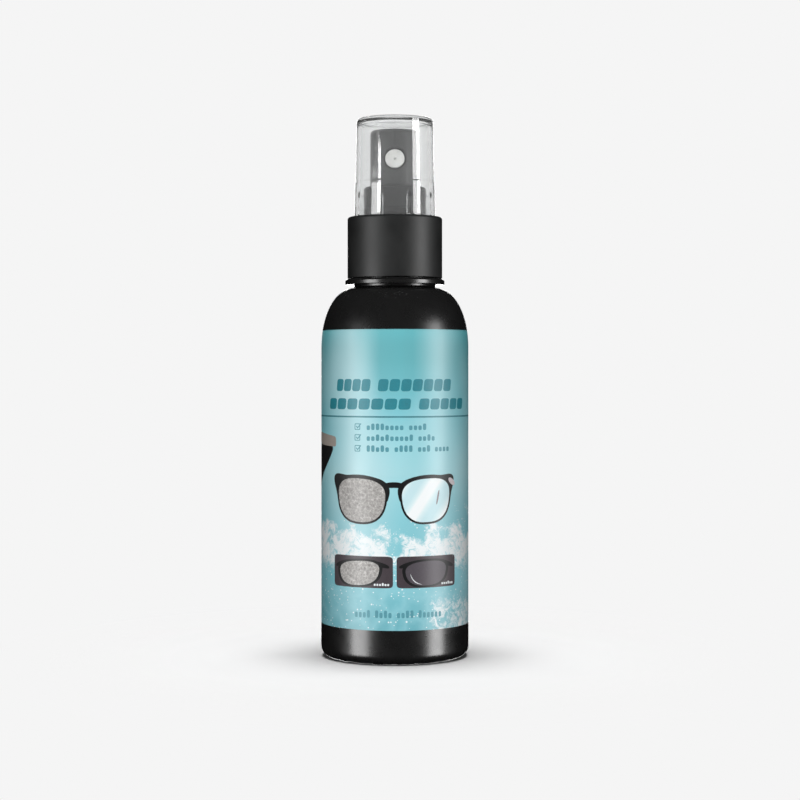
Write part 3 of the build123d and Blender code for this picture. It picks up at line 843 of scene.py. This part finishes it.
def lens_outline(side, grow=0.0, brow=0.0, corner=0.0):
    """A lens of the printed spectacles, grown outwards at each angle a by
    grow + brow max(sin a, 0) + corner exp(-((a - end piece) / its spread)^2), and by a share of that
    last term about the bridge's side."""
    shape = lens_shape(*LENS_HALVES)
    angle = np.degrees(np.arctan2(shape[:, 1], shape[:, 0]))
    more = grow + brow * np.maximum(np.sin(np.radians(angle)), 0)
    more += corner * np.exp(-(((angle - END_PIECE) / END_SPREAD) ** 2))
    more += BRIDGE_SHARE * corner * np.exp(-(((angle - BRIDGE_SIDE) / BRIDGE_SPREAD) ** 2))
    shape = shape * (1 + more / np.hypot(*shape.T))[:, None]
    outline = (BRIDGE + side * LENS_APART, LENS_HEIGHT) + shape * (side, 1)
    return outline if side > 0 else outline[::-1]


def spectacles():
    """A pair of spectacles, one lens hazed and one clear: two rims, a saddle bridge and end pieces."""
    rims = [
        between(lens_outline(-1, 0.5, 0.45, 2.4), lens_outline(-1, -0.05)),
        between(lens_outline(1, 0.5, 0.45, 2.2), lens_outline(1, -0.05)),
        block(BRIDGE, 47.3, 2.75, 0.75, 3.0, bend=-0.04),
    ]
    printed("print_spectacle_frame", rims, 3, BLACK_INK)
    printed("print_hazed_lens", [patch(lens_outline(-1, 0.2))], 1, HAZED)
    printed("print_clear_lens", [patch(lens_outline(1, 0.2))], 1, CLEAR)
    printed("print_clear_lens_mark", [block(12.0, 43.9, 2.05, 0.26, tilt=78)], 2, GREY_INK)
    printed("print_frame_glare", [block(17.0, 47.9, 1.5, 0.7, 2.2, tilt=-35)], 4, BLUSH_INK)


def tiles():
    """Two dark rounded tiles, each with a sports lens in a black frame: one hazed, one smoke tinted."""
    for (name, left, right), lens in zip(TILES, (HAZED, SMOKE_INK)):
        middle = (left + right) / 2
        u, v = middle + TILE_LENS[0], TILE_LENS[1]
        shape = lens_shape(*TILE_LENS_HALVES)
        tile = block(middle, TILE_MIDDLE, (right - left) / 2, TILE_HALF, 14.0)
        rim = patch(shape * (1.1, 1.12))
        brow = block(u + 0.5, v + 3.0, 8.2, 0.75, 3.0, bend=-0.02)
        printed("print_tile_" + name, [tile], 1, PLUM_INK)
        printed("print_tile_frame_" + name, [placed(rim, u, v)], 2, BLACK_INK)
        printed("print_tile_brow_" + name, [brow], 3, BLACK_INK)
        printed("print_tile_lens_" + name, [placed(patch(shape * 0.96), u, v)], 4, lens)
        caption = small_words(right - 5.2, 20.9, 0.8, (6,), 0.72, 40)
        printed("print_tile_caption_" + name, caption, 3, PALE_INK)
    glare = block(u - 3.6, v - 2.0, 2.2, 0.11, bend=0.16, tilt=-42)
    printed("print_tile_glare", [glare], 5, PALE_INK)


def smooth_loop(corners, steps=8):
    """A closed curve near a ring of points: a uniform quadratic B-spline, whose piece k is
    ((1-t)^2 (p0+p1) + 4 t (1-t) p1 + t^2 (p1+p2)) / 2."""
    t = np.linspace(0, 1, steps, endpoint=False)[None, :, None]
    points = np.array(corners, float)
    here, after, later = (np.roll(points, -k, axis=0)[:, None, :] for k in range(3))
    curve = ((1 - t) ** 2 * (here + after) + 4 * t * (1 - t) * after + t**2 * (after + later)) / 2
    loop = evenly(np.concatenate([curve.reshape(-1, 2), curve[:1, 0]]))
    area = np.sum(loop[:, 0] * np.roll(loop[:, 1], -1) - loop[:, 1] * np.roll(loop[:, 0], -1))
    return loop if area > 0 else loop[::-1]


def cloth_corner():
    """The corner of a cleaning cloth at the label's left: a grey folded hem over a dark wedge that
    widens away from the front."""
    hem = [
        (-17.9, 57.2),
        (-17.9, 59.4),
        (-18.6, 59.9),
        (-31.0, 61.0),
        (-31.0, 60.8),
        (-31.0, 57.6),
        (-18.4, 57.0),
    ]
    wedge = [(-18.3, 57.3), (-23.0, 58.0), (-31.0, 58.0), (-31.0, 44.5), (-27.0, 48.5), (-22.0, 52.6)]
    printed("print_cloth_fold", [patch(smooth_loop(wedge))], 1, BLACK_INK)
    printed("print_cloth_corner", [patch(smooth_loop(hem))], 2, CLOTH_INK)


PANELS = (("left", 50.5, 20), ("right", -50.5, 60))     # middle and first seed
PANEL_WORDS = ((4, 7), (6, 5), (8, 3), (5, 6), (3, 5))
PANEL_ROWS = 14
PANEL_PITCH = 3.4


def back_panels():
    """Two pale panels of small print, one at each side of the sleeve's seam."""
    for name, centre, seed in PANELS:
        printed("print_back_panel_" + name, [block(centre, 47.0, 9.2, 31.0, 9.0)], 2, PALE_INK)
        title = word(centre - 6.5, centre + 6.5, 72.0, 74.4, 6, HEADING_LEAN)
        printed("print_back_title_" + name, title, 3, TEAL_INK)
        lines = []
        for row in range(PANEL_ROWS):
            widths = PANEL_WORDS[row % len(PANEL_WORDS)]
            lines += small_words(centre - 7.4, 66.0 - PANEL_PITCH * row, 1.5, widths, 1.13, seed + row)
        printed("print_back_lines_" + name, lines, 3, RULE_INK)


# --- Overcap and spring ----------------------------------------------------------------------------


def overcap():
    """The clear cap as one closed skin: an outline turned about Z, its inner face pulled in to the ribs'
    radius in the columns of angle that a rib covers, with a column just outside each rib's flank."""
    share = CAP_BAND / (CAP_TOP - CAP_FOOT)
    band = CAP_MOUTH - CAP_DRAFT * share
    above = band - CAP_STEP
    top = CAP_MOUTH - CAP_DRAFT - CAP_STEP
    inner_top = CAP_TOP - CAP_ROOF
    slope = CAP_DRAFT / (CAP_TOP - CAP_FOOT)
    inner_foot = CAP_MOUTH - CAP_WALL
    rib_top = CAP_FOOT + RIB_HEIGHT
    inner = [
        (above - CAP_WALL, CAP_FOOT + CAP_BAND + CAP_STEP_HEIGHT),
        (inner_foot - slope * (RIB_HEIGHT + RIB_LEAD), rib_top + RIB_LEAD),
        (inner_foot - slope * RIB_HEIGHT, rib_top),
        (inner_foot - slope * RIB_LEAD, CAP_FOOT + RIB_LEAD),
        (inner_foot, CAP_FOOT),
    ]
    outline = rounded(
        (inner_foot, CAP_FOOT),
        (CAP_MOUTH, CAP_FOOT, CAP_LIP_EDGE),
        (band, CAP_FOOT + CAP_BAND, CAP_STEP_EDGE),
        (above, CAP_FOOT + CAP_BAND + CAP_STEP_HEIGHT, CAP_STEP_EDGE),
        (top, CAP_TOP, CAP_EDGE),
        (0, CAP_TOP),
    )
    inside = rounded((0, inner_top), (top - CAP_WALL, inner_top, CAP_INNER_EDGE), inner[0])
    plain = rounded(inner[0], inner[1])[1:]
    profile = np.concatenate([outline, inside, plain, np.array(inner[2:])])
    ribbed = profile.copy()
    ribbed[-4:, 0] = [RIB_REACH + RIB_LEAD, RIB_REACH, RIB_REACH, RIB_REACH + RIB_LEAD]
    flank = math.degrees(RIB_WIDTH / 2 / RIB_REACH)
    middles = 360 * (np.arange(RIB_COUNT) + 0.5) / RIB_COUNT
    on_face = np.array([-flank - RIB_FLANK, -flank, 0, flank, flank + RIB_FLANK])
    on_wall = np.linspace(flank + WALL_START, 360 / RIB_COUNT - flank - WALL_START, WALL_COLUMNS)
    angle = (middles[:, None] + np.concatenate([on_face, on_wall])).ravel()
    on_rib = np.tile([0, 1, 1, 1, 0] + [0] * WALL_COLUMNS, RIB_COUNT)
    order = np.argsort(angle)
    turn, on_rib = np.radians(angle[order]), on_rib[order]
    radius = profile[:, :1] * (1 - on_rib) + ribbed[:, :1] * on_rib
    grid = np.stack([radius * np.cos(turn), radius * np.sin(turn), profile[:, 1:] + 0 * turn], axis=-1)
    closed = np.concatenate([grid, grid[:1]])
    return skin("clear_overcap", [closed], "overcap", SAN, ["overcap"])


def spring():
    """The return spring: a round wire along a helix whose height rises wire on wire in the end coils and
    evenly between, its section set in the plane across the helix, both ends closed to a point."""
    turns = np.linspace(0, COILS, COILS * COIL_STEPS + 1)
    length = SPRING_TOP - SPRING_FOOT
    free = length - 2 * WIRE_RADIUS
    dead = 2 * WIRE_RADIUS * DEAD_PITCH
    active = (free - 2 * CLOSED_COILS * dead) / (COILS - 2 * CLOSED_COILS)
    rates = np.where((turns < CLOSED_COILS) | (turns > COILS - CLOSED_COILS), dead, active)
    steps = (rates[1:] + rates[:-1]) / 2 * np.diff(turns)
    climb = np.concatenate([[0], np.cumsum(steps)])
    height = SPRING_FOOT + WIRE_RADIUS + climb * free / climb[-1]
    turn = turns * 2 * math.pi
    path = np.stack([COIL_RADIUS * np.cos(turn), COIL_RADIUS * np.sin(turn), height], axis=-1)
    along = np.gradient(path, axis=0)
    along /= np.linalg.norm(along, axis=1, keepdims=True)
    out = np.stack([np.cos(turn), np.sin(turn), 0 * turn], axis=-1)
    side = np.cross(along, out)
    a = np.arange(WIRE_SIDES)[:, None] * 2 * math.pi / WIRE_SIDES
    ring = WIRE_RADIUS * (out[:, None] * np.cos(a) + side[:, None] * np.sin(a))
    wire = path[:, None] + ring
    foot, head = (np.broadcast_to(path[end], wire[:1].shape) for end in (0, -1))
    grid = np.concatenate([foot, wire, head])
    made = skin("return_spring_wire", [grid], "pump", WIRE, ["return_spring"])
    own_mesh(made)


# --- Studio ----------------------------------------------------------------------------------------

BACKDROP = "#f5f5f5"
FLOOR_REACH = 6.0               # metres, as everything in the studio is
FLOOR_BLEND = (0.05, 0.11)


def soft_box(name, azimuth, distance, height, width, tall, power, gloss=False, only=None):
    """An area light, in metres and watts. It stands upright and faces the axis, at an azimuth in degrees
    from the front to the right, or hangs level over the axis where its distance is 0. It makes the gloss
    or else the colours, on everything or on one piece, as if screens kept it off the rest."""
    light = bpy.data.lights.new(name, "AREA")
    light.shape = "RECTANGLE"
    light.size, light.size_y = width, tall
    light.energy = power
    lamp = bpy.data.objects.new(name, light)
    bpy.context.scene.collection.objects.link(lamp)
    a = math.radians(azimuth)
    lamp.location = (distance * math.sin(a), -distance * math.cos(a), height)
    lamp.rotation_euler = (math.radians(90) if distance else 0, 0, a)
    lamp.visible_camera = False
    lamp.visible_glossy = gloss
    lamp.visible_diffuse = not gloss
    lamp.visible_transmission = False
    if only:
        lit = bpy.data.collections.new(name + "_lights")
        lit.objects.link(only)
        lamp.light_linking.receiver_collection = lit


def lamps(cap, floor):
    """Tall strips for the gloss, two of them on the clear cap only, wide soft light from the front, back
    and top for the colours, and one light over the floor for the object's shadow."""
    soft_box("strip_left", -56, 0.6, -0.025, 0.30, 0.47, 4.2, gloss=True)
    soft_box("strip_right", 66, 0.6, 0.02, 0.26, 0.56, 4.8, gloss=True)
    soft_box("strip_back", 180, 0.7, 0.02, 0.20, 0.56, 3.0, gloss=True)
    soft_box("front_fill", 0, 0.7, 0.1, 0.9, 1.2, 7.2)
    soft_box("back_fill", 180, 0.7, 0.1, 0.9, 1.2, 5.4)
    soft_box("cap_strip_left", -46, 0.6, 0.195, 0.08, 0.07, 0.3, gloss=True, only=cap)
    soft_box("cap_strip_right", 72, 0.6, 0.2, 0.08, 0.08, 0.36, gloss=True, only=cap)
    soft_box("top_fill", 0, 0.0, 0.8, 0.25, 0.25, 8)
    soft_box("floor_light", 0, 0.0, 0.8, 0.4, 0.3, 21.5, only=floor)


def backdrop():
    """A plain pale backdrop, seen directly or through clear plastic. What has been scattered sees it dim,
    so that the lamps alone make the gloss."""
    world = bpy.data.worlds.new("studio")
    bpy.context.scene.world = world
    world.use_nodes = True
    tree = world.node_tree
    light_path = node(tree, "LightPath")
    first = node(
        tree, "Math", {"operation": "LESS_THAN"}, {0: light_path.outputs["Diffuse Depth"], 1: 0.5}
    )
    through = node(
        tree, "Math", {"operation": "MULTIPLY"}, {0: light_path.outputs["Is Transmission Ray"], 1: first}
    )
    seen = node(
        tree, "Math", {"operation": "MAXIMUM"}, {0: light_path.outputs["Is Camera Ray"], 1: through}
    )
    dim = node(
        tree,
        "Mix",
        COLOURS,
        {
            "Factor": light_path.outputs["Is Diffuse Ray"],
            "A": (0.004, 0.004, 0.004, 1.0),
            "B": (0.09, 0.09, 0.09, 1.0),
        },
    )
    shade = node(tree, "Mix", COLOURS, {"Factor": seen, "A": dim, "B": linear(BACKDROP)})
    tree.links.new(shade.outputs[2], tree.nodes["Background"].inputs["Color"])


def paper_floor():
    """A square of matt paper. Near the object it is lit, for the shadow, and it turns into the backdrop's
    own colour between two distances from the axis."""
    mesh = bpy.data.meshes.new("floor")
    x, y = FLOOR_REACH * np.array([(-1, 1, 1, -1), (-1, -1, 1, 1)])
    mesh.from_pydata(np.stack([x, y, 0 * x], axis=-1), [], [(0, 1, 2, 3)])
    floor = bpy.data.objects.new("floor", mesh)
    bpy.context.scene.collection.objects.link(floor)
    floor.visible_glossy = False
    floor.visible_diffuse = False
    floor.visible_shadow = False
    material = bpy.data.materials.new("matt_paper")
    material.use_nodes = True
    tree = material.node_tree
    tree.nodes.remove(tree.nodes["Principled BSDF"])
    place = node(tree, "TexCoord").outputs["Object"]
    away = node(tree, "VectorMath", {"operation": "LENGTH"}, {0: place})
    near, far = FLOOR_BLEND
    share = node(
        tree, "MapRange", SMOOTH, {"Value": away.outputs["Value"], "From Min": near, "From Max": far}
    )
    lit = node(tree, "BsdfDiffuse", links={"Color": (0.2, 0.2, 0.2, 1.0)})
    plain = node(tree, "Emission", links={"Color": linear(BACKDROP), "Strength": 1.0})
    blend = node(tree, "MixShader", links={"Fac": share, 1: lit, 2: plain})
    tree.links.new(blend.outputs[0], tree.nodes["Material Output"].inputs["Surface"])
    mesh.materials.append(material)
    return floor


def camera():
    """A level camera in front, with the object a little left of the middle and the horizon above it."""
    data = bpy.data.cameras.new("camera")
    data.lens = 85.05
    data.sensor_width = 36.0
    data.shift_x = 0.0064
    data.shift_y = -0.03625
    made = bpy.data.objects.new("camera", data)
    made.location = (0.0, -0.5136, 0.0771)
    made.rotation_euler = (math.radians(90), 0, 0)
    bpy.context.scene.collection.objects.link(made)
    bpy.context.scene.camera = made


label_sleeve()
heading()
checks()
spectacles()
tiles()
cloth_corner()
back_panels()
spring()
lamps(overcap(), paper_floor())
backdrop()
camera()
bpy.context.scene.view_settings.view_transform = "Standard"
